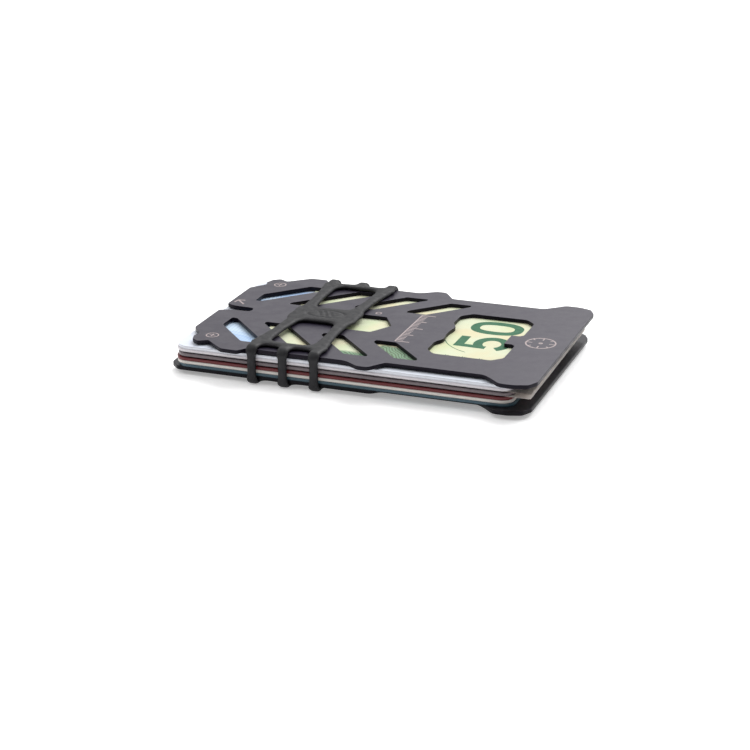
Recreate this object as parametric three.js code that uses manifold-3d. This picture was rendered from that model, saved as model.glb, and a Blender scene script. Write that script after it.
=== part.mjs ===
// Slim plate wallet: two slotted metal plates hold a stack of cards and folded notes, and one
// moulded elastic band with a centre pad, arms and three legs per side is wrapped around them.
// Millimetres, +X along the length towards the ears, +Z up. The origin is under the middle of
// the whole object's box, at its lowest point.
import * as THREE from 'three';
import { mergeVertices } from 'three/addons/utils/BufferGeometryUtils.js';
import Module from 'manifold-3d';

// ---- driving dimensions ----
const PLATE_LENGTH = 90.3;
const PLATE_THICKNESS = 1.0;
const BOTTOM_PLATE_SHIFT = -1.3; // the lower plate sits a little further to the left
const BOTTOM_PLATE_LEFT = -46.5; // and is longer at its left end

const EAR_HALF_WIDTH = 29.3; // widest part of a plate, at its ears
const RECESS_HALF_WIDTH = 25.1; // edges cut back to bare the cards
const SEAT_HALF_WIDTH = 26.9; // waist in which the band sits
const SLOT_PITCH = 13.35;
const SLOT_SLOPE = 1.06;
const SLOT_WIDTH_X = 6.5;
const HEX_ACROSS_FLATS = 11.7;
const HEX_CENTRE_X = -6.4;

const CARD_LENGTH = 85.6;
const CARD_WIDTH = 53.98;
const CARD_THICKNESS = 0.76;
const CARD_CORNER = 3.18;

const NOTE_LENGTH = 66.3; // a note's short side lies along the wallet
const NOTE_WIDTH = 52.0; // its long side, folded in three
const NARROW_NOTE_WIDTH = 48.8; // folded a little tighter

const BAND_CENTRE_X = -17.1;
const BAND_TOP = 1.2; // rubber on the upper face
const BAND_SIDE = 1.3; // rubber at the edges
const BAND_BASE = 1.1; // rubber under the lower face
const BAND_BEND = 1.6;
const BAND_LEG_WIDTH = 2.8;
const BAND_LEG_PITCH = 8.0;
const BAND_PAD_HALF_LENGTH = 9.1;
const BAND_PAD_HALF_WIDTH = 5.3;

const LAYER_GAP = 0.02;
const BAND_CLEARANCE = 0.15;
const BAND_ARM_HALF = 1.7;
const BAND_ARM_ROOT = 6.9; // where an arm leaves the pad, from the band's middle
const BAND_ARM_ROOT_Y = 2.5;
const CROSSBAR_INNER = 22.4;
const CROSSBAR_OUTER = 25.2;
const CROSSBAR_FLARE = 1.0; // the crossbar widens towards the arms
const LEG_WEB = 1.0; // and towards each leg
const CURVE_STEPS = 4;
const BAND_CURVE_STEPS = 6;
const CARD_CURVE_STEPS = 6;
const MARGIN = 1.0; // cutting bodies reach this far past what they cut

// ---- solids ----
const wasm = await Module();
wasm.setup();

function toSolid(geometry) {
  geometry.deleteAttribute('normal');
  geometry.deleteAttribute('uv');
  const merged = mergeVertices(geometry, 1e-5);
  const mesh = new wasm.Mesh({
    numProp: 3,
    vertProperties: new Float32Array(merged.attributes.position.array),
    triVerts: new Uint32Array(merged.index.array),
  });
  return new wasm.Manifold(mesh);
}

function toGeometry(solid) {
  const mesh = solid.getMesh();
  const geometry = new THREE.BufferGeometry();
  geometry.setAttribute('position', new THREE.BufferAttribute(new Float32Array(mesh.vertProperties), 3));
  geometry.setIndex(Array.from(mesh.triVerts));
  return geometry;
}

// A closed outline through [x, y, radius] corners; each corner with a radius is eased by a curve.
function tracePath(path, corners) {
  const count = corners.length;
  for (let i = 0; i < count; i += 1) {
    const [x, y, radius = 0] = corners[i];
    const here = new THREE.Vector2(x, y);
    const before = new THREE.Vector2(...corners[(i + count - 1) % count].slice(0, 2));
    const after = new THREE.Vector2(...corners[(i + 1) % count].slice(0, 2));
    const toBefore = before.clone().sub(here);
    const toAfter = after.clone().sub(here);
    const reach = Math.min(radius, toBefore.length() / 2, toAfter.length() / 2);
    const entry = here.clone().addScaledVector(toBefore.normalize(), reach);
    const exit = here.clone().addScaledVector(toAfter.normalize(), reach);
    if (i === 0) {
      path.moveTo(entry.x, entry.y);
    } else {
      path.lineTo(entry.x, entry.y);
    }
    if (reach > 0) {
      path.quadraticCurveTo(here.x, here.y, exit.x, exit.y);
    }
  }
  path.closePath();
  return path;
}

function mirrored(corners) {
  return corners.map(([x, y, radius]) => [x, -y, radius]).reverse();
}

function slab(shape, thickness, bottom, steps = CURVE_STEPS) {
  const geometry = new THREE.ExtrudeGeometry(shape, {
    depth: thickness,
    bevelEnabled: false,
    curveSegments: steps,
  });
  geometry.translate(0, 0, bottom);
  return geometry;
}

// ---- plates ----
const HALF_LENGTH = PLATE_LENGTH / 2;

// The long edge from the right end to the recess, for y > 0; both plates share it.
const EAR_EDGE = [
  [HALF_LENGTH, 25.4, 0.5],
  [43.7, 28.2, 0.6],
  [40.4, EAR_HALF_WIDTH, 0.8],
  [36.9, EAR_HALF_WIDTH, 0.9],
  [34.4, 26.9, 0.6],
  [32.2, RECESS_HALF_WIDTH, 0.9],
  [8.0, RECESS_HALF_WIDTH, 0.8],
];

// The rest of the upper plate's edge: a bump, the band's seat, a bump and a hooked left corner.
const TOP_LEFT_EDGE = [
  [6.4, 27.4, 0.6],
  [5.0, 29.4, 0.8],
  [2.4, 29.4, 0.8],
  [-1.4, SEAT_HALF_WIDTH, 1.2],
  [-26.9, SEAT_HALF_WIDTH, 0.6],
  [-28.3, 29.1, 0.5],
  [-32.6, 29.0, 0.8],
  [-37.9, 24.5, 0.4],
  [-40.1, 25.9, 0.5],
  [-42.0, 24.6, 0.3],
  [-42.7, 22.4, 0.3],
  [-42.1, 20.4, 0.3],
  [-HALF_LENGTH, 16.7, 0.7],
];

// The lower plate's edge runs straight to a chamfered corner.
const BOTTOM_LEFT_EDGE = [
  [6.2, SEAT_HALF_WIDTH, 1.0],
  [BOTTOM_PLATE_LEFT + 2.5, SEAT_HALF_WIDTH, 0.8],
  [BOTTOM_PLATE_LEFT, SEAT_HALF_WIDTH - 2.5, 0.8],
];

// The upper half of the tapered notch in a plate's left end, from its lip to its inner end.
function notchHalf(left) {
  return [
    [left, 2.6, 0.6],
    [left + 2.3, 1.6, 0.8],
    [left + 8.1, 1.3, 1.1],
  ];
}

// Each slanted slot: its inner and outer flat, its left wall and its right wall.
const SLOTS = [
  { inner: 11.0, outer: 21.3, left: 0.4, right: 14.3 },
  { inner: 10.4, outer: 22.4, left: -13.4, right: 2.3 },
  { inner: 7.4, outer: 22.6, left: -30.0, right: -11.4 },
  { inner: 7.2, outer: 22.3, left: -39.4, right: -24.8 },
];
const SLOT_REFERENCE_X = 5.05;
const SLOT_REFERENCE_Y = 10.4;
const SLOT_CORNER = 0.5;

function slotCorners(index) {
  const { inner, outer, left, right } = SLOTS[index];
  const start = SLOT_REFERENCE_X - SLOT_PITCH * index;
  const innerLineX = (y) => start + (y - SLOT_REFERENCE_Y) / SLOT_SLOPE;
  const innerLineY = (x) => SLOT_REFERENCE_Y + (x - start) * SLOT_SLOPE;
  return [
    [left, inner, SLOT_CORNER],
    [innerLineX(inner), inner, SLOT_CORNER],
    [right, innerLineY(right), SLOT_CORNER],
    [right, outer, SLOT_CORNER],
    [innerLineX(outer) - SLOT_WIDTH_X, outer, SLOT_CORNER],
    [left, innerLineY(left + SLOT_WIDTH_X), SLOT_CORNER],
  ];
}

// The big viewing window with a square tooth on its right side and a scalloped one on its left.
const WINDOW_LEFT = 14.2;
const WINDOW_RIGHT = 33.2;
const WINDOW_HALF_HEIGHT = 15.3;
const WINDOW_CHAMFER = 2.4;
const WINDOW_TOOTH_X = 30.3;
const WINDOW_TOOTH_HALF = 3.15;

const WINDOW_HALF = [
  [WINDOW_TOOTH_X, WINDOW_TOOTH_HALF, 0.3],
  [WINDOW_RIGHT - 0.9, WINDOW_TOOTH_HALF, 0.3],
  [WINDOW_RIGHT, WINDOW_TOOTH_HALF + 0.9, 0.4],
  [WINDOW_RIGHT, WINDOW_HALF_HEIGHT - WINDOW_CHAMFER, 0.7],
  [WINDOW_RIGHT - WINDOW_CHAMFER, WINDOW_HALF_HEIGHT, 0.7],
  [WINDOW_LEFT + WINDOW_CHAMFER, WINDOW_HALF_HEIGHT, 0.7],
  [WINDOW_LEFT, WINDOW_HALF_HEIGHT - WINDOW_CHAMFER, 0.7],
  [WINDOW_LEFT, 7.2, 0.8],
  [15.7, 4.7, 1.2],
  [15.15, 1.6, 1.2],
];

function hexCorners() {
  const radius = HEX_ACROSS_FLATS / Math.sqrt(3);
  const corners = [];
  for (let i = 0; i < 6; i += 1) {
    const angle = (i * Math.PI) / 3;
    corners.push([HEX_CENTRE_X + radius * Math.cos(angle), radius * Math.sin(angle), 0.4]);
  }
  return corners;
}

function plateGeometry(leftEdge, left, bottom) {
  const half = [...EAR_EDGE, ...leftEdge, ...notchHalf(left)];
  const outline = [...half, ...mirrored(half)];
  const shape = tracePath(new THREE.Shape(), outline);
  for (let i = 0; i < SLOTS.length; i += 1) {
    const corners = slotCorners(i);
    shape.holes.push(tracePath(new THREE.Path(), corners));
    shape.holes.push(tracePath(new THREE.Path(), mirrored(corners)));
  }
  shape.holes.push(tracePath(new THREE.Path(), hexCorners()));
  shape.holes.push(tracePath(new THREE.Path(), [...WINDOW_HALF, ...mirrored(WINDOW_HALF)]));
  return slab(shape, PLATE_THICKNESS, bottom);
}

// ---- cards and notes ----
function roundedRectangle(length, width, radius) {
  const x = length / 2;
  const y = width / 2;
  const shape = new THREE.Shape();
  shape.moveTo(x, -y + radius);
  shape.lineTo(x, y - radius);
  shape.absarc(x - radius, y - radius, radius, 0, Math.PI / 2);
  shape.lineTo(-x + radius, y);
  shape.absarc(-x + radius, y - radius, radius, Math.PI / 2, Math.PI);
  shape.lineTo(-x, -y + radius);
  shape.absarc(-x + radius, -y + radius, radius, Math.PI, 1.5 * Math.PI);
  shape.lineTo(x - radius, -y);
  shape.absarc(x - radius, -y + radius, radius, 1.5 * Math.PI, 2 * Math.PI);
  shape.closePath();
  return shape;
}

function cardGeometry(bottom) {
  const shape = roundedRectangle(CARD_LENGTH, CARD_WIDTH, CARD_CORNER);
  return slab(shape, CARD_THICKNESS, bottom, CARD_CURVE_STEPS);
}

function noteGeometry(width, thickness, bottom) {
  const geometry = new THREE.BoxGeometry(NOTE_LENGTH, width, thickness);
  geometry.translate(0, 0, bottom + thickness / 2);
  return geometry;
}

// ---- the stack, from the upper plate down ----
const STACK = [
  { name: 'top_plate', kind: 'plate', color: 0x5e5c66, roughness: 0.35, metalness: 0.4 },
  { name: 'folded_note_1', kind: 'note', thickness: 0.25, width: NARROW_NOTE_WIDTH, x: 4.4, color: 0xe1e6c8 },
  { name: 'card_1', kind: 'card', x: -2.95, color: 0xbbcad3 },
  { name: 'card_2', kind: 'card', x: -3.3, color: 0xbebdc0 },
  { name: 'folded_note_2', kind: 'note', thickness: 0.33, x: 10.7, y: -0.4, color: 0x918d8d },
  { name: 'card_3', kind: 'card', x: -3.1, color: 0x6c6569 },
  { name: 'folded_note_3', kind: 'note', thickness: 0.33, x: 10.5, y: -0.3, color: 0xa39b99 },
  { name: 'card_4', kind: 'card', x: -3.5, color: 0x6c1e1f },
  { name: 'card_5', kind: 'card', x: -3.4, color: 0xc7bcb4 },
  { name: 'card_6', kind: 'card', x: -3.05, color: 0x425666 },
  { name: 'bottom_plate', kind: 'plate', x: BOTTOM_PLATE_SHIFT, color: 0x2a2930, roughness: 0.35, metalness: 0.4 },
];

function thicknessOf(layer) {
  if (layer.kind === 'plate') {
    return PLATE_THICKNESS;
  }
  return layer.kind === 'card' ? CARD_THICKNESS : layer.thickness;
}

const STACK_HEIGHT = STACK.reduce((sum, layer) => sum + thicknessOf(layer) + LAYER_GAP, -LAYER_GAP);

function layerGeometry(layer, bottom) {
  if (layer.kind === 'plate') {
    return layer.name === 'top_plate'
      ? plateGeometry(TOP_LEFT_EDGE, -HALF_LENGTH, bottom)
      : plateGeometry(BOTTOM_LEFT_EDGE, BOTTOM_PLATE_LEFT, bottom);
  }
  if (layer.kind === 'card') {
    return cardGeometry(bottom);
  }
  return noteGeometry(layer.width ?? NOTE_WIDTH, layer.thickness, bottom);
}

// ---- elastic band ----
// A closed sleeve around the stack, seen along X: outer and inner rounded rectangles.
function sleeve() {
  const inside = { y: SEAT_HALF_WIDTH + BAND_CLEARANCE, low: -LAYER_GAP, high: STACK_HEIGHT + LAYER_GAP };
  const outside = { y: inside.y + BAND_SIDE, low: inside.low - BAND_BASE, high: inside.high + BAND_TOP };
  const loop = ({ y, low, high }, radius) => [
    [y, high, radius],
    [-y, high, radius],
    [-y, low, radius],
    [y, low, radius],
  ];
  const shape = tracePath(new THREE.Shape(), loop(outside, BAND_BEND));
  shape.holes.push(tracePath(new THREE.Path(), loop(inside, 0.3)));
  const length = 2 * (BAND_LEG_PITCH + BAND_LEG_WIDTH);
  const geometry = new THREE.ExtrudeGeometry(shape, {
    depth: length,
    bevelEnabled: false,
    curveSegments: BAND_CURVE_STEPS,
  });
  // The profile was drawn as (y, z); stand it up and lay its depth along X.
  geometry.rotateX(Math.PI / 2);
  geometry.rotateZ(Math.PI / 2);
  geometry.translate(-length / 2, 0, 0);
  return toSolid(geometry);
}

// The band's plan for y > 0: pad, two arms, crossbar and three legs, as closed corner loops.
function bandPlan() {
  const outerY = SEAT_HALF_WIDTH + BAND_CLEARANCE + BAND_SIDE + MARGIN;
  const legHalf = BAND_LEG_WIDTH / 2;
  const loops = [];
  for (const side of [-1, 1]) {
    const root = side * BAND_ARM_ROOT;
    const tip = side * BAND_LEG_PITCH;
    loops.push([
      [root + BAND_ARM_HALF, BAND_ARM_ROOT_Y],
      [tip + legHalf, CROSSBAR_OUTER],
      [tip - legHalf, CROSSBAR_OUTER],
      [root - BAND_ARM_HALF, BAND_ARM_ROOT_Y],
    ]);
  }
  const span = BAND_LEG_PITCH + legHalf;
  const armInner = span - BAND_LEG_WIDTH;
  loops.push([
    [span, CROSSBAR_INNER - CROSSBAR_FLARE, 0.6],
    [span, CROSSBAR_OUTER],
    [-span, CROSSBAR_OUTER],
    [-span, CROSSBAR_INNER - CROSSBAR_FLARE, 0.6],
    [-armInner, CROSSBAR_INNER - CROSSBAR_FLARE, 0.8],
    [0, CROSSBAR_INNER + 0.6, 2.0],
    [armInner, CROSSBAR_INNER - CROSSBAR_FLARE, 0.8],
  ]);
  for (const step of [-1, 0, 1]) {
    const x = step * BAND_LEG_PITCH;
    loops.push([
      [x + legHalf, CROSSBAR_OUTER],
      [x + legHalf, outerY],
      [x - legHalf, outerY],
      [x - legHalf, CROSSBAR_OUTER],
      [x - legHalf - LEG_WEB, CROSSBAR_OUTER - LEG_WEB],
      [x + legHalf + LEG_WEB, CROSSBAR_OUTER - LEG_WEB],
    ]);
  }
  return loops;
}

function bandMask() {
  const low = -BAND_BASE - MARGIN;
  const height = STACK_HEIGHT + BAND_BASE + BAND_TOP + 2 * MARGIN;
  const column = (shape) => toSolid(slab(shape, height, low, BAND_CURVE_STEPS));
  const corner = BAND_PAD_HALF_WIDTH - 0.8;
  const pad = roundedRectangle(2 * BAND_PAD_HALF_LENGTH, 2 * BAND_PAD_HALF_WIDTH, corner);
  let mask = column(pad);
  for (const loop of bandPlan()) {
    mask = mask.add(column(tracePath(new THREE.Shape(), loop)));
    mask = mask.add(column(tracePath(new THREE.Shape(), mirrored(loop))));
  }
  return mask;
}

function bandGeometry() {
  const geometry = toGeometry(sleeve().intersect(bandMask()));
  geometry.translate(BAND_CENTRE_X, 0, 0);
  return geometry;
}

// ---- assembly ----
function piece(name, geometry, color, roughness, metalness) {
  const material = new THREE.MeshStandardMaterial({ color, roughness, metalness });
  const mesh = new THREE.Mesh(geometry, material);
  mesh.name = name;
  return mesh;
}

const group = new THREE.Group();
let top = STACK_HEIGHT;
for (const layer of STACK) {
  const bottom = top - thicknessOf(layer);
  const { name, color, roughness = 0.5, metalness = 0 } = layer;
  const mesh = piece(name, layerGeometry(layer, bottom), color, roughness, metalness);
  mesh.position.set(layer.x ?? 0, layer.y ?? 0, 0);
  group.add(mesh);
  top = bottom - LAYER_GAP;
}
group.add(piece('elastic_band', bandGeometry(), 0x1e1d21, 0.7, 0));

const box = new THREE.Box3().setFromObject(group);
const centre = box.getCenter(new THREE.Vector3());
group.position.set(-centre.x, -centre.y, -box.min.z);

export default group;
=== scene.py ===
"""Looks of the loaded plate wallet: two coated plates, a moulded rubber band, cards and folded notes."""

import math

import bmesh
import bpy
import numpy as np
from mathutils import Matrix, Vector
from mathutils.geometry import tessellate_polygon


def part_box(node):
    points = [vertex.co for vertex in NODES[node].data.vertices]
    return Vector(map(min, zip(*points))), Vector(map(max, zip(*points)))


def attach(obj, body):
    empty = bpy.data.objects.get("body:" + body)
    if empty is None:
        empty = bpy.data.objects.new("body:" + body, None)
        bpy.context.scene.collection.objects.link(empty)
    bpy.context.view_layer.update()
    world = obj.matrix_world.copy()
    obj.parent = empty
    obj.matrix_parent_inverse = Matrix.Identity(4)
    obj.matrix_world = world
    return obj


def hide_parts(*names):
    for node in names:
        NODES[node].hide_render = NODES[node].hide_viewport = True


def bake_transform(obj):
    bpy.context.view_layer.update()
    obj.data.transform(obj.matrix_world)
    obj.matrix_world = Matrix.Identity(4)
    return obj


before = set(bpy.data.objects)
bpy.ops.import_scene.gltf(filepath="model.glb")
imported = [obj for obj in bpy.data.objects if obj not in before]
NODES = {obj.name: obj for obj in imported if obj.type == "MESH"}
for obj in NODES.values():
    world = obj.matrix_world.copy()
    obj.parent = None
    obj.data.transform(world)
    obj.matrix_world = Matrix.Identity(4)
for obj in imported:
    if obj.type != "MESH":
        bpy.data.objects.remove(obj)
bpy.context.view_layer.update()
MM = 0.001

PLATE_LOW, PLATE_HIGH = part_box("top_plate")
BASE_LOW, BASE_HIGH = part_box("bottom_plate")
BAND_LOW, BAND_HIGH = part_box("elastic_band")
NOTE_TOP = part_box("folded_note_1")[1].z
CARD_NAMES = [f"card_{i}" for i in range(1, 7)]
CARD_BODIES = {name: f"card_{letter}" for name, letter in zip(CARD_NAMES, "abcdef")}

# Middle of the upper plate, in millimetres: the origin of the marks' and prints' x values.
PLATE_HALF_LENGTH = 45.15
MIDDLE_X = PLATE_HIGH.x / MM - PLATE_HALF_LENGTH


# ---------------------------------------------------------------- camera, floor, light
# The camera stands beyond the near long edge and above it, towards the +X end, and looks back at the wallet.
CAMERA_PLACE = Vector((MIDDLE_X + 154.47, -420.06, BASE_LOW.z / MM + 163.18)) * MM
CAMERA_YAW = math.radians(-20.67)
CAMERA_PITCH = math.radians(-20.63)
CAMERA_ROLL = math.radians(0.41)
CAMERA_LENS = 92.15


def make_camera():
    data = bpy.data.cameras.new("camera")
    data.lens = CAMERA_LENS
    data.sensor_width = 36.0
    data.clip_start = 0.01
    data.clip_end = 50.0
    camera = bpy.data.objects.new("camera", data)
    bpy.context.scene.collection.objects.link(camera)
    turn = Matrix.Rotation(-CAMERA_YAW, 4, "Z") @ Matrix.Rotation(math.pi / 2 + CAMERA_PITCH, 4, "X")
    camera.matrix_world = Matrix.Translation(CAMERA_PLACE) @ turn @ Matrix.Rotation(-CAMERA_ROLL, 4, "Z")
    bpy.context.scene.camera = camera


def make_floor():
    half = 4.0
    mesh = bpy.data.meshes.new("floor")
    corners = [(-half, -half, 0), (half, -half, 0), (half, half, 0), (-half, half, 0)]
    mesh.from_pydata(corners, [], [(0, 1, 2, 3)])
    floor = bpy.data.objects.new("floor", mesh)
    bpy.context.scene.collection.objects.link(floor)
    look = Look("floor_paper", roughness=0.9)
    look.colour_from(look.noise(40.0, 3.0), (0.9, 0.9, 0.9), (0.93, 0.93, 0.93))
    look.shader.inputs["Emission Color"].default_value = (1.0, 1.0, 1.0, 1.0)
    look.shader.inputs["Emission Strength"].default_value = 0.3
    mesh.materials.append(look.material)


def make_lights():
    world = bpy.data.worlds.new("studio")
    bpy.context.scene.world = world
    world.use_nodes = True
    nodes, links = world.node_tree.nodes, world.node_tree.links
    direction = nodes.new("ShaderNodeTexCoord")
    split = nodes.new("ShaderNodeSeparateXYZ")
    ramp = nodes.new("ShaderNodeMapRange")
    ramp.inputs["From Min"].default_value = -0.7
    ramp.inputs["From Max"].default_value = 0.7
    ramp.inputs["To Min"].default_value = 0.26
    ramp.inputs["To Max"].default_value = 1.0
    links.new(direction.outputs["Generated"], split.inputs[0])
    links.new(split.outputs["Y"], ramp.inputs["Value"])
    links.new(ramp.outputs[0], nodes["Background"].inputs["Strength"])
    nodes["Background"].inputs["Color"].default_value = (1.0, 1.0, 1.0, 1.0)
    for name, position, size, power in (
        ("key", (0.15, 0.55, 0.75), 0.8, 9.0),
        ("fill", (-0.55, -0.25, 0.6), 0.6, 2.2),
    ):
        data = bpy.data.lights.new(name, "AREA")
        data.size = size
        data.energy = power
        light = bpy.data.objects.new(name, data)
        light.location = position
        light.rotation_euler = (-Vector(position)).to_track_quat("-Z", "Y").to_euler()
        bpy.context.scene.collection.objects.link(light)


# ---------------------------------------------------------------- materials
class Look:
    """A procedural material: a Principled shader with helpers for patterns in the piece's own space."""

    def __init__(self, name, roughness=0.5, metallic=0.0, specular=0.5):
        self.material = bpy.data.materials.new(name)
        self.material.use_nodes = True
        self.nodes = self.material.node_tree.nodes
        self.links = self.material.node_tree.links
        self.shader = self.nodes["Principled BSDF"]
        self.shader.inputs["Roughness"].default_value = roughness
        self.shader.inputs["Metallic"].default_value = metallic
        self.shader.inputs["Specular IOR Level"].default_value = specular
        self.place = self.nodes.new("ShaderNodeTexCoord").outputs["Object"]

    def _put(self, value, socket):
        if isinstance(value, bpy.types.NodeSocket):
            self.links.new(value, socket)
        else:
            socket.default_value = value

    def math(self, operation, a, b=0.0):
        node = self.nodes.new("ShaderNodeMath")
        node.operation = operation
        self._put(a, node.inputs[0])
        self._put(b, node.inputs[1])
        return node.outputs[0]

    def axis(self, letter):
        """A coordinate of the piece's own space, in millimetres."""
        node = self.nodes.new("ShaderNodeSeparateXYZ")
        self.links.new(self.place, node.inputs[0])
        return self.math("MULTIPLY", node.outputs[letter], 1000.0)

    def stretched(self, x, y, z):
        node = self.nodes.new("ShaderNodeMapping")
        node.inputs["Scale"].default_value = (x, y, z)
        self.links.new(self.place, node.inputs["Vector"])
        return node.outputs[0]

    def noise(self, scale, detail=2.0, vector=None):
        node = self.nodes.new("ShaderNodeTexNoise")
        node.inputs["Scale"].default_value = scale
        node.inputs["Detail"].default_value = detail
        self.links.new(self.place if vector is None else vector, node.inputs["Vector"])
        return node.outputs["Fac"]

    def between(self, value, low, high, soft=0.05):
        """1 where low < value < high, 0 elsewhere, with soft edges."""
        up = self.ramp(value, low - soft, low + soft, 0.0, 1.0)
        down = self.ramp(value, high - soft, high + soft, 1.0, 0.0)
        return self.math("MULTIPLY", up, down)

    def ramp(self, value, from_low, from_high, to_low, to_high):
        node = self.nodes.new("ShaderNodeMapRange")
        node.inputs["From Min"].default_value = from_low
        node.inputs["From Max"].default_value = from_high
        node.inputs["To Min"].default_value = to_low
        node.inputs["To Max"].default_value = to_high
        self._put(value, node.inputs["Value"])
        return node.outputs[0]

    def mix(self, factor, a, b):
        node = self.nodes.new("ShaderNodeMix")
        node.data_type = "RGBA"
        self._put(factor, node.inputs["Factor"])
        self._put(rgba(a), node.inputs["A"])
        self._put(rgba(b), node.inputs["B"])
        return node.outputs["Result"]

    def colour(self, value):
        self._put(rgba(value), self.shader.inputs["Base Color"])

    def colour_from(self, factor, a, b):
        self.colour(self.mix(factor, a, b))

    def rough(self, value):
        self.links.new(value, self.shader.inputs["Roughness"])

    def bump(self, height, strength, distance_mm):
        node = self.nodes.new("ShaderNodeBump")
        node.inputs["Strength"].default_value = strength
        node.inputs["Distance"].default_value = distance_mm * MM
        self.links.new(height, node.inputs["Height"])
        self.links.new(node.outputs[0], self.shader.inputs["Normal"])


def rgba(value):
    if isinstance(value, bpy.types.NodeSocket) or len(value) == 4:
        return value
    return (*value, 1.0)


def coated_metal(name, node, dark, light, gloss):
    """Fine blasted coating, uneven in tone; the upper face is lighter and glossier than the walls, whose darker
    colour is painted shade.
    """
    look = Look(name, roughness=0.36, specular=0.5)
    face = look.ramp(look.axis("Z"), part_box(node)[1].z / MM - 0.07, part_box(node)[1].z / MM - 0.01, 0.0, 1.0)
    cloud = look.noise(60.0, 3.0)
    grain = look.noise(6500.0, 2.0)
    tone = look.math("ADD", look.math("MULTIPLY", cloud, 0.7), look.math("MULTIPLY", grain, 0.3))
    flat = look.mix(tone, dark, light)
    # Painted shade: walls and slot walls take 0.45 of the dark tone, while the upper face keeps the cloudy
    # coating.
    look.colour(look.mix(face, tuple(0.45 * c for c in dark), flat))
    look.links.new(look.ramp(face, 0.0, 1.0, 0.12, gloss), look.shader.inputs["Specular IOR Level"])
    look.shader.inputs["Specular Tint"].default_value = (0.93, 0.88, 1.0, 1.0)
    look.rough(look.ramp(look.noise(300.0, 4.0), 0.3, 0.7, 0.3, 0.42))
    look.bump(grain, 0.12, 0.02)
    return look.material


def moulded_rubber():
    look = Look("moulded_rubber", roughness=0.55, specular=0.3)
    cloud = look.noise(90.0, 4.0)
    look.colour_from(cloud, (0.006, 0.006, 0.0075), (0.012, 0.0115, 0.014))
    grain = look.noise(4200.0, 3.0)
    look.rough(look.ramp(look.noise(700.0, 3.0), 0.3, 0.7, 0.48, 0.66))
    look.bump(grain, 0.25, 0.03)
    return look.material


def etched_mark():
    look = Look("etched_mark", roughness=0.6)
    look.colour_from(look.noise(2500.0, 2.0), (0.26, 0.20, 0.20), (0.46, 0.39, 0.38))
    return look.material


# ---------------------------------------------------------------- mesh helpers
def make_object(name, vertices, faces, material, smooth_angle=35.0):
    mesh = bpy.data.meshes.new(name)
    mesh.from_pydata([tuple(v) for v in vertices], [], faces)
    mesh.validate()
    mesh.materials.append(material)
    for polygon in mesh.polygons:
        polygon.use_smooth = True
    mesh.set_sharp_from_angle(angle=math.radians(smooth_angle))
    piece = bpy.data.objects.new(name, mesh)
    bpy.context.scene.collection.objects.link(piece)
    return piece


def face_loops(node, height):
    """Directed outlines, material on their left, of a slab node's upper face. The outer one comes first."""
    bm = bmesh.new()
    bm.from_mesh(NODES[node].data)
    bmesh.ops.remove_doubles(bm, verts=bm.verts, dist=1e-7)
    cap = [f for f in bm.faces if f.normal.z > 0.9 and abs(f.calc_center_median().z - height) < 1e-5]
    members = set(cap)  # only asked what it holds: its order changes from run to run
    following = {}
    for face in cap:
        for corner in face.loops:
            if sum(f in members for f in corner.edge.link_faces) == 1:
                following[corner.vert] = corner.link_loop_next.vert
    loops = []
    while following:
        start, vert = next(iter(following.items()))
        loop = [start]
        del following[start]
        while vert is not start:
            loop.append(vert)
            vert = following.pop(vert)
        loops.append(np.array([(v.co.x, v.co.y) for v in loop]))
    bm.free()
    return sorted(loops, key=lambda loop: -abs(loop_area(loop)))


def loop_area(loop):
    after = np.roll(loop, -1, axis=0)
    return 0.5 * np.sum(loop[:, 0] * after[:, 1] - after[:, 0] * loop[:, 1])


def rounded_off(loop, longest=0.9 * MM):
    """Cuts every corner once more, by a quarter of a short side, so that curved stretches read as round."""
    points = []
    count = len(loop)
    for i in range(count):
        here = loop[i]
        for other in (loop[i - 1], loop[(i + 1) % count]):
            step = other - here
            length = np.linalg.norm(step)
            reach = min(0.25, 0.25 * longest / length)
            points.append(here + step * reach)
    return np.array(points)


def inset(loop, distance):
    """The loop moved into the material, which is on its left."""
    ahead = np.roll(loop, -1, axis=0) - loop
    ahead /= np.linalg.norm(ahead, axis=1)[:, None]
    behind = np.roll(ahead, 1, axis=0)
    left = np.stack([-ahead[:, 1], ahead[:, 0]], 1) + np.stack([-behind[:, 1], behind[:, 0]], 1)
    size = np.sum(left * left, axis=1)
    return loop + left * (2.0 * distance / np.maximum(size, 0.8))[:, None]


def bevelled_slab(name, node, bevel, material, steps=3):
    """A slab node rebuilt with rounded-over edges, from the outlines of its upper face."""
    low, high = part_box(node)
    loops = [rounded_off(loop) for loop in face_loops(node, high.z)]
    profile = []
    for i in range(steps + 1):
        angle = math.pi / 2 * i / steps
        profile.append((bevel * (1 - math.cos(angle)), bevel * (1 - math.sin(angle))))
    rings = [(move, high.z - drop) for move, drop in reversed(profile)]
    rings += [(move, low.z + drop) for move, drop in profile]
    vertices, faces, starts = [], [], []
    for loop in loops:
        starts.append(len(vertices))
        count = len(loop)
        for move, z in rings:
            vertices += [(x, y, z) for x, y in inset(loop, move)]
        for ring in range(len(rings) - 1):
            a = starts[-1] + ring * count
            for i in range(count):
                j = (i + 1) % count
                faces.append((a + i, a + count + i, a + count + j, a + j))
    for ring, flip in ((0, False), (len(rings) - 1, True)):
        index, outlines = [], []
        for loop, start in zip(loops, starts):
            first = start + ring * len(loop)
            index += range(first, first + len(loop))
            outlines.append([Vector(vertices[k]) for k in range(first, first + len(loop))])
        for triangle in tessellate_polygon(outlines):
            a, b, c = (index[k] for k in triangle)
            corner = Vector(vertices[a])
            up = (Vector(vertices[b]) - corner).cross(Vector(vertices[c]) - corner).z
            faces.append((a, b, c) if (up > 0) != flip else (a, c, b))
    piece = make_object(name, vertices, faces, material)
    for polygon in piece.data.polygons:
        polygon.use_smooth = abs(polygon.normal.z) < 0.999
    return piece


def dress(piece, body, node=None):
    if node is not None:
        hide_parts(node)
    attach(piece, body)


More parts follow.
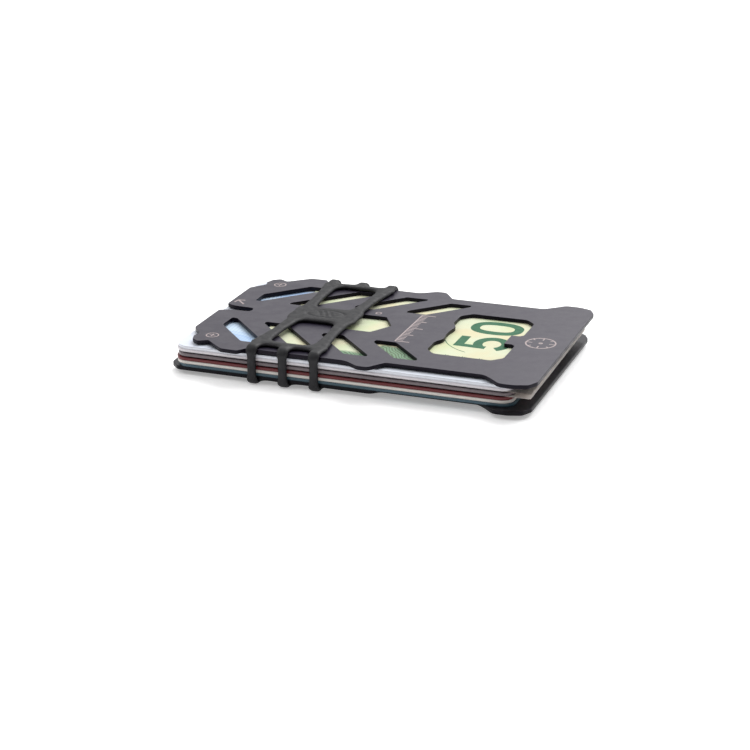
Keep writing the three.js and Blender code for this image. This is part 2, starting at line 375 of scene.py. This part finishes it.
# ---------------------------------------------------------------- plates and their marks
PLATE_BEVEL = 0.12 * MM
UPPER_TONES = ((0.012, 0.01, 0.019), (0.024, 0.02, 0.034))
# The lower plate's tones are darker and greyer than the upper's: painted shade for the plate under the stack.
LOWER_TONES_PAINTED_SHADE = ((0.008, 0.008, 0.01), (0.016, 0.015, 0.018))
UPPER_GLOSS = 0.4
LOWER_GLOSS = 0.25


def make_plates():
    coating = coated_metal("upper_plate_coating", "top_plate", *UPPER_TONES, UPPER_GLOSS)
    upper = bevelled_slab("upper_plate", "top_plate", PLATE_BEVEL, coating)
    coating = coated_metal("lower_plate_coating", "bottom_plate", *LOWER_TONES_PAINTED_SHADE, LOWER_GLOSS)
    lower = bevelled_slab("lower_plate", "bottom_plate", PLATE_BEVEL, coating)
    dress(upper, "upper", "top_plate")
    dress(lower, "base", "bottom_plate")


# Each line ends this much above the one before, so that crossings stay clean.
STROKE_RISE = 0.0004 * MM


class Strokes:
    """Flat lines, at most a few hundredths of a millimetre proud of a surface, gathered in one mesh."""

    def __init__(self, low, high):
        self.low = low
        self.high = high
        self.vertices = []
        self.faces = []

    def line(self, points, width, closed=False):
        """points are (x, y) in millimetres."""
        path = np.array(points, float) * MM
        count = len(path)
        half = width * MM / 2
        before = path - np.roll(path, 1, axis=0)
        after = np.roll(path, -1, axis=0) - path
        if not closed:
            before[0] = after[0]
            after[-1] = before[-1]
        before /= np.linalg.norm(before, axis=1)[:, None]
        after /= np.linalg.norm(after, axis=1)[:, None]
        left = np.stack([-(before + after)[:, 1], (before + after)[:, 0]], 1)
        left *= (2.0 / np.maximum(np.sum(left * left, axis=1), 0.6))[:, None] * half
        first = len(self.vertices)
        self.high += STROKE_RISE
        for (x, y), (dx, dy) in zip(path, left):
            self.vertices += [
                (x + dx, y + dy, self.high),
                (x - dx, y - dy, self.high),
                (x - dx, y - dy, self.low),
                (x + dx, y + dy, self.low),
            ]
        for i in range(count if closed else count - 1):
            a = first + 4 * i
            b = first + 4 * ((i + 1) % count)
            for side in range(4):
                other = (side + 1) % 4
                self.faces.append((a + side, a + other, b + other, b + side))
        if not closed:
            last = first + 4 * (count - 1)
            self.faces.append((first + 3, first + 2, first + 1, first))
            self.faces.append((last, last + 1, last + 2, last + 3))

    def piece(self, name, material):
        return make_object(name, self.vertices, self.faces, material)


def arc(x, y, radius, start, end, steps):
    """Points along an arc; angles in degrees."""
    angles = np.radians(np.linspace(start, end, steps + 1))
    return [(x + radius * math.cos(a), y + radius * math.sin(a)) for a in angles]


def make_marks():
    """Etched marks on the upper plate: a plain dial, a graduated rule, an arrow and small rings."""
    marks = Strokes(PLATE_HIGH.z - 0.01 * MM, PLATE_HIGH.z + 0.006 * MM)
    ring_x, ring_y = MIDDLE_X + 38.6, -0.1
    marks.line(arc(ring_x, ring_y, 3.6, 0, 352.5, 47), 0.36, closed=True)
    marks.line(arc(ring_x, ring_y, 0.35, 0, 330, 11), 0.4, closed=True)
    for k in range(8):
        angle = math.radians(45 * k)
        inner = 2.1 if k % 2 == 0 else 2.7
        along = (math.cos(angle), math.sin(angle))
        marks.line([(ring_x + r * along[0], ring_y + r * along[1]) for r in (inner, 3.5)], 0.32)
    rule_x = MIDDLE_X + 5.0
    for k in range(21):
        y = -10.0 + k
        length = 3.6 if k % 10 == 0 else 2.9 if k % 5 == 0 else 1.7
        marks.line([(rule_x, y), (rule_x + length, y)], 0.38)
    marks.line([(rule_x, -10.2), (rule_x, 10.2)], 0.3)
    tip = (MIDDLE_X - 43.6, 6.0)
    marks.line([(MIDDLE_X - 41.0, 3.4), tip], 0.4)
    marks.line([(MIDDLE_X - 43.9, 4.2), tip, (MIDDLE_X - 41.8, 6.3)], 0.4)
    badge_x = MIDDLE_X - 38.4
    for y in (-20.9, 21.1):
        marks.line(arc(badge_x, y, 1.5, 0, 345, 23), 0.28, closed=True)
        marks.line([(badge_x - 0.8, y), (badge_x + 0.8, y)], 0.28)
        marks.line([(badge_x, y - 0.8), (badge_x, y + 0.8)], 0.28)
    dot_x = MIDDLE_X - 5.9
    marks.line(arc(dot_x, 8.0, 0.7, 0, 340, 17), 0.26, closed=True)
    dress(marks.piece("etched_marks", etched_mark()), "upper")


# ---------------------------------------------------------------- cards
CARD_BEVEL = 0.07 * MM
CARD_TONES = {
    "card_1": ((0.56, 0.69, 0.83), (0.26, 0.42, 0.70), (0.72, 0.74, 0.80), "card_light_blue"),
    "card_2": ((0.78, 0.76, 0.80), (0.58, 0.54, 0.62), (0.66, 0.63, 0.66), "card_white"),
    "card_3": ((0.13, 0.10, 0.11), (0.22, 0.19, 0.20), (0.16, 0.13, 0.14), "card_maroon"),
    "card_4": ((0.33, 0.012, 0.018), (0.20, 0.006, 0.010), (0.12, 0.006, 0.009), "card_red"),
    "card_5": ((0.70, 0.66, 0.60), (0.52, 0.46, 0.38), (0.66, 0.62, 0.58), "card_cream"),
    "card_6": ((0.035, 0.085, 0.12), (0.06, 0.16, 0.18), (0.045, 0.09, 0.12), "card_teal"),
}


def card_print(name, variation):
    """Printed faces with soft waves under a clear film, a plain core at the edge, and a dark stripe below."""
    ground, wave, core, _ = CARD_TONES[name]
    low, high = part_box(name)
    look = Look(f"{name}_print", roughness=0.34, specular=0.35)
    x, y, z = look.axis("X"), look.axis("Y"), look.axis("Z")
    bend = look.math("MULTIPLY", look.noise(22.0 + variation, 2.0), 26.0)
    phase = look.math("ADD", look.math("MULTIPLY", y, 0.28), bend)
    swell = look.math("SINE", look.math("ADD", phase, look.math("MULTIPLY", x, 0.05)))
    printed = look.mix(look.ramp(swell, -0.9, 0.9, 0.0, 0.7), ground, wave)
    printed = look.mix(look.math("MULTIPLY", look.between(swell, 0.1, 0.35, 0.02), 0.5), printed, wave)
    printed = look.mix(look.math("MULTIPLY", look.between(swell, -0.5, -0.42, 0.01), 0.7), printed, wave)
    net = look.math("SINE", look.math("ADD", look.math("MULTIPLY", x, 7.0), look.math("MULTIPLY", bend, 3.0)))
    fine = look.math("MULTIPLY", look.ramp(net, 0.75, 0.95, 0.0, 1.0), 0.35)
    printed = look.mix(fine, printed, tuple(0.7 * c for c in wave))
    rim_y = look.ramp(look.math("ABSOLUTE", y), 20.5, 23.5, 0.0, 1.0)
    rim_x = look.ramp(x, MIDDLE_X - 40.5, MIDDLE_X - 43.5, 0.0, 1.0)
    printed = look.mix(look.math("MULTIPLY", look.math("MAXIMUM", rim_x, rim_y), 0.85), printed, core)
    middle = 0.5 * (low.z + high.z) / MM
    away = look.math("ABSOLUTE", look.math("SUBTRACT", z, middle))
    half = 0.5 * (high.z - low.z) / MM
    edge_tone = look.mix(look.noise(900.0, 3.0), core, tuple(0.8 * c for c in core))
    film = look.between(away, half - 0.16, half - 0.06, 0.02)
    edge_tone = look.mix(look.math("MULTIPLY", film, 0.55), edge_tone, tuple(0.35 * c for c in core))
    face = look.ramp(away, half - 0.05, half - 0.03, 0.0, 1.0)
    underside = look.ramp(z, middle - 0.1, middle + 0.1, 1.0, 0.0)
    stripe = look.math("MULTIPLY", look.between(y, 10.5, 23.0), underside)
    printed = look.mix(stripe, printed, (0.012, 0.012, 0.014))
    look.colour(look.mix(face, edge_tone, printed))
    look.bump(look.noise(500.0, 3.0), 0.06, 0.02)
    return look.material


def contact_pad(name):
    """The card's metal contact plate: a rounded tile cut into fields by fine grooves."""
    low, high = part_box(name)
    look = Look(f"{name}_contact_metal", roughness=0.32, metallic=1.0)
    look.colour_from(look.noise(800.0, 3.0), (0.62, 0.47, 0.22), (0.78, 0.62, 0.33))
    x0, y0 = low.x / MM + 15.0, 0.5 * (low.y + high.y) / MM + 4.5
    tile = Strokes(high.z - 0.02 * MM, high.z + 0.008 * MM)
    for k in range(3):
        y = y0 + 3.7 * (k - 1)
        tile.line([(x0 - 6.0, y), (x0 - 2.1, y)], 3.3)
        tile.line([(x0 + 2.1, y), (x0 + 6.0, y)], 3.3)
    tile.line([(x0 - 1.7, y0), (x0 + 1.7, y0)], 9.2)
    dress(tile.piece(f"{name}_contacts", look.material), CARD_BODIES[name])


def make_cards():
    for order, name in enumerate(CARD_NAMES):
        material = card_print(name, 3.0 * order)
        piece = bevelled_slab(f"{name}_body", name, CARD_BEVEL, material)
        dress(piece, CARD_BODIES[name], name)
        contact_pad(name)


# ---------------------------------------------------------------- notes
PAPER = 0.05 * MM
STAGGER = 1.1 * MM
# number, body, the paper's darker and lighter tones, its ink, and the seed of its uneven ends
BUNDLES = (
    (2, "note_b", (0.42, 0.37, 0.34), (0.74, 0.69, 0.64), (0.20, 0.25, 0.22), 5),
    (3, "note_c", (0.62, 0.58, 0.56), (0.86, 0.83, 0.80), (0.24, 0.22, 0.30), 7),
)


def folded_sheets(name, node, material, layers, stagger, seed):
    """Folded paper: thin sheets joined by turns at alternate sides. Their +X ends step back by stagger."""
    low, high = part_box(node)
    rng = np.random.default_rng(seed)
    pitch = (high.z - low.z - PAPER) / (layers - 1)
    path = []
    for layer in range(layers):
        z = low.z + PAPER / 2 + pitch * layer
        run = np.linspace(low.y + 0.6 * MM, high.y - 0.6 * MM, 14)
        if layer % 2:
            run = run[::-1]
        path += [(y, z, layer) for y in run]
        if layer < layers - 1:
            side = 1 if layer % 2 == 0 else -1
            edge = run[-1]
            for step in range(1, 6):
                angle = -math.pi / 2 + math.pi * step / 6
                y = edge + side * 0.5 * MM * math.cos(angle)
                path.append((y, z + pitch / 2 * (1 + math.sin(angle)), layer + step / 6))
    path = np.array(path)
    step = np.gradient(path[:, :2], axis=0)
    step /= np.linalg.norm(step, axis=1)[:, None]
    normal = np.stack([-step[:, 1], step[:, 0]], 1) * PAPER / 2
    xs = np.linspace(low.x, high.x, 34)
    wobble = -np.abs(rng.normal(0, 0.08 * MM, layers + 1))
    rows = len(path)
    vertices, faces = [], []
    for x in xs:
        for sign in (1, -1):
            for k in range(rows):
                y, z, layer = path[k]
                skew = 0.5 * MM * (0.5 + y / (high.y - low.y))
                back = stagger * (layer / (layers - 1))
                end = wobble[int(layer)] - back - skew if x == xs[-1] else 0.0
                vertices.append((x + end, y + sign * normal[k, 0], z + sign * normal[k, 1]))
    for i in range(len(xs) - 1):
        for k in range(rows - 1):
            a, b = 2 * rows * i, 2 * rows * (i + 1)
            faces.append((a + k, a + k + 1, b + k + 1, b + k))
            faces.append((a + rows + k, b + rows + k, b + rows + k + 1, a + rows + k + 1))
        for k, flip in ((0, False), (rows - 1, True)):
            a, b = 2 * rows * i + k, 2 * rows * (i + 1) + k
            quad = (a, b, b + rows, a + rows)
            faces.append(quad[::-1] if flip else quad)
    for i, flip in ((0, False), (len(xs) - 1, True)):
        for k in range(rows - 1):
            a = 2 * rows * i
            quad = (a + k, a + rows + k, a + rows + k + 1, a + k + 1)
            faces.append(quad[::-1] if flip else quad)
    return make_object(name, vertices, faces, material, 50.0)


def note_paper():
    """Cream paper with fine engraved wave lines, and a dark green hatched border along its near side."""
    look = Look("note_paper", roughness=0.85, specular=0.2)
    x, y = look.axis("X"), look.axis("Y")
    fibres = look.noise(900.0, 4.0, look.stretched(1.0, 3.0, 1.0))
    base = look.mix(fibres, (0.56, 0.60, 0.43), (0.69, 0.71, 0.54))
    warm = look.ramp(look.noise(110.0, 3.0), 0.42, 0.66, 0.0, 0.6)
    base = look.mix(warm, base, (0.68, 0.57, 0.36))
    cool = look.ramp(look.noise(85.0, 3.0, look.stretched(1.0, 1.0, 9.0)), 0.5, 0.7, 0.0, 0.5)
    base = look.mix(cool, base, (0.46, 0.60, 0.30))
    swing = look.math("MULTIPLY", look.math("SINE", look.math("MULTIPLY", x, 1.1)), 1.4)
    waves = look.math("SINE", look.math("MULTIPLY", look.math("ADD", y, swing), 9.0))
    ink = look.ramp(waves, 0.35, 0.9, 0.0, 1.0)
    curl = look.math("MULTIPLY", look.noise(260.0, 2.0), 22.0)
    swirl = look.math("ADD", look.math("MULTIPLY", x, 6.5), curl)
    lines = look.math("SINE", look.math("ADD", swirl, look.math("MULTIPLY", y, 5.0)))
    hatch = look.ramp(lines, -0.2, 0.5, 0.0, 1.0)
    reach = look.ramp(x, MIDDLE_X - 1.0, MIDDLE_X + 2.5, 0.0, 7.0)
    fade = look.ramp(x, MIDDLE_X + 9.0, MIDDLE_X + 12.0, 0.0, 4.0)
    ragged = look.math("MULTIPLY", look.noise(300.0, 3.0), 3.0)
    inland = look.math("ADD", y, look.math("SUBTRACT", ragged, reach))
    border = look.ramp(look.math("ADD", inland, fade), -16.2, -17.8, 0.0, 1.0)
    base = look.mix(look.math("MULTIPLY", ink, 0.16), base, (0.16, 0.27, 0.15))
    green = look.mix(hatch, (0.13, 0.27, 0.17), (0.035, 0.085, 0.055))
    look.colour(look.mix(look.math("MULTIPLY", border, 0.85), base, green))
    look.bump(fibres, 0.2, 0.02)
    return look.material


def worn_paper(name, node, dark, light, ink):
    """Handled paper with a faded engraved border, wave lines and a rosette of rings."""
    low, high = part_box(node)
    look = Look(name, roughness=0.85, specular=0.2)
    x, y = look.axis("X"), look.axis("Y")
    grain = look.noise(1400.0, 4.0, look.stretched(1.0, 1.0, 6.0))
    base = look.mix(grain, dark, light)
    across = look.math("ABSOLUTE", look.math("SUBTRACT", y, 0.5 * (low.y + high.y) / MM))
    along = look.math("ABSOLUTE", look.math("SUBTRACT", x, 0.5 * (low.x + high.x) / MM))
    swing = look.math("MULTIPLY", look.math("SINE", look.math("MULTIPLY", x, 0.9)), 1.2)
    waves = look.math("SINE", look.math("MULTIPLY", look.math("ADD", y, swing), 7.0))
    field_span = look.ramp(along, 29.0, 29.5, 1.0, 0.0)
    field = look.math("MULTIPLY", look.ramp(waves, 0.3, 0.9, 0.0, 0.45), field_span)
    border_span = look.ramp(along, 30.0, 30.2, 1.0, 0.0)
    border = look.math("MULTIPLY", look.between(across, 20.0, 22.6, 0.1), border_span)
    beads = look.ramp(look.math("SINE", look.math("MULTIPLY", x, 4.0)), -0.3, 0.3, 0.35, 0.85)
    squares = look.math("ADD", look.math("MULTIPLY", across, across), look.math("MULTIPLY", along, along))
    reach = look.math("SQRT", squares)
    ripple = look.math("MULTIPLY", look.noise(180.0, 1.0), 3.0)
    circles = look.math("SINE", look.math("ADD", look.math("MULTIPLY", reach, 6.0), ripple))
    rings = look.ramp(circles, -0.2, 0.4, 0.1, 0.8)
    rosette = look.math("MULTIPLY", rings, look.ramp(reach, 9.0, 9.3, 1.0, 0.0))
    faded = look.math("MULTIPLY", look.math("MAXIMUM", field, look.math("MULTIPLY", border, beads)), 0.8)
    printed = look.mix(look.math("MAXIMUM", faded, rosette), base, ink)
    worn = look.ramp(look.noise(55.0, 4.0), 0.42, 0.7, 0.0, 0.4)
    look.colour(look.mix(worn, printed, base))
    look.bump(grain, 0.3, 0.03)
    return look.material


def make_numeral():
    """A plain two-digit number in green ink, its tops towards the notched end, with an arc and hatching."""
    ink = Look("note_ink", roughness=0.8, specular=0.2)
    ink.colour_from(ink.noise(700.0, 4.0), (0.03, 0.105, 0.06), (0.075, 0.19, 0.11))
    digits = Strokes(NOTE_TOP - 0.02 * MM, NOTE_TOP + 0.008 * MM)
    foot, tall, width = MIDDLE_X + 31.5, 13.3, 2.3

    def placed(points, middle_y):
        """From a digit's own (across, up) to the sheet's (x, y)."""
        return [(foot - up, middle_y + across) for across, up in points]

    ring = []
    for k in range(48):
        angle = 2 * math.pi * k / 48
        c, s = math.cos(angle), math.sin(angle)
        across = 3.5 * math.copysign(abs(c) ** 0.8, c)
        ring.append((across, tall / 2 + (tall - width) / 2 * math.copysign(abs(s) ** 0.8, s)))
    digits.line(placed(ring, 9.4), width, closed=True)
    digits.line(placed([(-3.9, tall - width / 2), (3.5, tall - width / 2)], -1.7), width)
    digits.line(placed([(-2.9, tall), (-3.15, 5.4)], -1.7), width * 0.82)
    turns = np.radians(np.linspace(142, -150, 36))
    bowl = [(-0.3 + 3.7 * math.cos(a), 4.55 + 3.4 * math.sin(a)) for a in turns]
    digits.line(placed(bowl, -1.7), width)
    dress(digits.piece("note_numeral", ink.material), "note_a")
    fine = Strokes(NOTE_TOP - 0.02 * MM, NOTE_TOP + 0.006 * MM)
    fine.line(arc(MIDDLE_X + 26.8, 2.5, 12.6, 165, 250, 30), 0.22)
    for k in range(30):
        x = MIDDLE_X + 15.2 + 0.6 * k
        fine.line([(x, -14.3 - 0.25 * math.sin(1.7 * k)), (x + 0.6, -13.0 - 0.6 * math.sin(0.9 * k))], 0.2)
    dress(fine.piece("note_fine_lines", ink.material), "note_a")


def make_notes():
    first = folded_sheets("note_1_paper", "folded_note_1", note_paper(), 3, 0.0, 3)
    dress(first, "note_a", "folded_note_1")
    for number, body, dark, light, ink, seed in BUNDLES:
        name, node = f"note_{number}_paper", f"folded_note_{number}"
        paper = worn_paper(name, node, dark, light, ink)
        dress(folded_sheets(name, node, paper, 5, STAGGER, seed), body, node)
    make_numeral()


# ---------------------------------------------------------------- elastic band
BAND_X = 0.5 * (BAND_LOW.x + BAND_HIGH.x) / MM
BAND_CELL = 0.24
LEG_PITCH = 8.0
PAD_HALF_X = 9.0
PAD_HALF_Y = 5.1
PAD_CORNER = 3.4
SEAT_Y = 27.08  # the band's inner face along the plates' waist
INNER_CLEARANCE = 0.04
INNER_CORNER = 0.3
OUTER_CORNER = 1.9
ARM_ROOT = (6.3, 3.6)
ARM_WAIST = (6.9, 13.0)
ARM_TIP = (7.5, 22.6)
ARM_ROOT_HALF = 1.9
ARM_WAIST_HALF = 1.5
ARM_TIP_HALF = 2.0
CROSSBAR_Y = 23.9
CROSSBAR_BOW = 1.1
CROSSBAR_HALF = 1.25
LEG_HALF = 1.2
LEG_SWELL = 0.35
LEG_START_Y = 23.6
BEND_REACH = 1.6
MARK_STRETCH = 1.9  # the pad's mark is this much longer than wide
MARK_BAR_HALF = 0.28
MARK_DEPTH = 0.16


def smooth_min(a, b, reach):
    blend = np.maximum(reach - np.abs(a - b), 0.0) / reach
    return np.minimum(a, b) - blend * blend * reach / 4


def smooth_max(a, b, reach):
    return -smooth_min(-a, -b, reach)


def rounded_box(u, v, half_u, half_v, radius):
    du, dv = np.abs(u) - half_u + radius, np.abs(v) - half_v + radius
    return np.hypot(np.maximum(du, 0), np.maximum(dv, 0)) + np.minimum(np.maximum(du, dv), 0) - radius


def strip(u, v, start, end, start_half, end_half):
    """Distance to a straight strip whose half-width changes from start to end."""
    along = np.array(end, float) - np.array(start, float)
    share = ((u - start[0]) * along[0] + (v - start[1]) * along[1]) / along.dot(along)
    share = np.clip(share, 0.0, 1.0)
    reach = np.hypot(u - start[0] - share * along[0], v - start[1] - share * along[1])
    return reach - (start_half + (end_half - start_half) * share)


def band_plan(x, y, bend):
    """The band from above: pad, arms, crossbars and legs, melted together. bend is 1 at the legs' bends."""
    across, out = np.abs(x), np.abs(y)
    pad = rounded_box(x, y, PAD_HALF_X, PAD_HALF_Y, PAD_CORNER)
    arm = strip(across, out, ARM_ROOT, ARM_WAIST, ARM_ROOT_HALF, ARM_WAIST_HALF)
    arm = np.minimum(arm, strip(across, out, ARM_WAIST, ARM_TIP, ARM_WAIST_HALF, ARM_TIP_HALF))
    middle = CROSSBAR_Y - CROSSBAR_BOW * (across / LEG_PITCH) ** 2
    crossbar = np.maximum(np.abs(out - middle) - CROSSBAR_HALF, across - LEG_PITCH)
    plan = smooth_min(smooth_min(pad, arm, 2.2), crossbar, 2.6)
    leg = np.minimum(across, np.abs(across - LEG_PITCH)) - LEG_HALF - LEG_SWELL * bend
    leg = np.maximum(leg, LEG_START_Y - out)
    return smooth_min(plan, leg, 2.0)


def band_field(x, y, z):
    """Signed distance to the moulded band, in millimetres; negative inside the rubber."""
    inner_low, inner_high = BASE_LOW.z / MM - INNER_CLEARANCE, PLATE_HIGH.z / MM + INNER_CLEARANCE
    outer_low, outer_high = BAND_LOW.z / MM, BAND_HIGH.z / MM
    middle = 0.5 * (outer_low + outer_high)
    outer = rounded_box(y, z - middle, BAND_HIGH.y / MM, 0.5 * (outer_high - outer_low), OUTER_CORNER)
    middle = 0.5 * (inner_low + inner_high)
    inner = rounded_box(y, z - middle, SEAT_Y, 0.5 * (inner_high - inner_low), INNER_CORNER)
    shell = np.maximum(outer, -inner)
    corner = np.abs(z - middle) - 0.5 * (inner_high - inner_low) + BEND_REACH
    bend = np.clip(corner / BEND_REACH, 0.0, 1.0) * np.clip((np.abs(y) - 24.5) / 2.0, 0.0, 1.0)
    field = smooth_max(shell, band_plan(x, y, bend), 1.1)
    slant = x + 0.5 * y
    bars = np.abs(np.abs(slant) - 1.5) - MARK_BAR_HALF
    bars = np.minimum(bars, np.abs(slant) - MARK_BAR_HALF)
    oval = np.hypot(x / MARK_STRETCH, y)
    mark = np.maximum(bars, oval - 1.9)
    mark = np.minimum(mark, np.abs(oval - 2.6) - 0.16)
    groove = np.maximum(mark, outer_high - MARK_DEPTH - z)
    return np.maximum(field, -groove)


def skin(field, origin, cell):
    """A quad mesh over a sampled field's zero level: one vertex in each cell that the surface crosses."""
    size = np.array(field.shape) - 1
    total = np.zeros((*size, 3))
    hits = np.zeros(size)
    corners = [(i, j, k) for i in (0, 1) for j in (0, 1) for k in (0, 1)]

    def at(corner):
        return field[tuple(slice(c, c + n) for c, n in zip(corner, size))]

    for a in corners:
        for axis in range(3):
            if a[axis]:
                continue
            b = tuple(c + (n == axis) for n, c in enumerate(a))
            start, end = at(a), at(b)
            crossed = (start < 0) != (end < 0)
            share = np.where(crossed, start / np.where(crossed, start - end, 1.0), 0.0)
            for n in range(3):
                total[..., n] += np.where(crossed, a[n] + (share if n == axis else 0.0), 0.0)
            hits += crossed
    live = hits > 0
    number = np.full(size, -1)
    number[live] = np.arange(live.sum())
    places = np.argwhere(live) + total[live] / hits[live][:, None]
    vertices = np.array(origin) + places * cell
    inside = field < 0
    faces = []
    for axis in range(3):
        side, up = (axis + 1) % 3, (axis + 2) % 3
        ahead = [slice(None)] * 3
        behind = [slice(None)] * 3
        behind[axis], ahead[axis] = slice(0, -1), slice(1, None)
        change = inside[tuple(behind)] != inside[tuple(ahead)]
        spots = np.argwhere(change)
        outward = inside[tuple(behind)][change]
        ring = []
        for step_side, step_up in ((1, 1), (0, 1), (0, 0), (1, 0)):
            cellwise = spots.copy()
            cellwise[:, side] -= step_side
            cellwise[:, up] -= step_up
            ring.append(number[tuple(cellwise.T)])
        ring = np.stack(ring, 1)
        ring[~outward] = ring[~outward][:, ::-1]
        faces += ring.tolist()
    return vertices, faces


def make_band():
    low = np.array(BAND_LOW) / MM - 2 * BAND_CELL
    high = np.array(BAND_HIGH) / MM + 2 * BAND_CELL
    axes = [np.arange(a, b + BAND_CELL, BAND_CELL) for a, b in zip(low, high)]
    x, y, z = np.meshgrid(*axes, indexing="ij")
    vertices, faces = skin(band_field(x - BAND_X, y, z), low, BAND_CELL)
    piece = make_object("rubber_band", vertices * MM, faces, moulded_rubber(), 180.0)
    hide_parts("elastic_band")
    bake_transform(piece)


# ---------------------------------------------------------------- scene
bpy.context.scene.view_settings.view_transform = "Standard"
make_camera()
make_floor()
make_lights()
make_plates()
make_marks()
make_cards()
make_notes()
make_band()
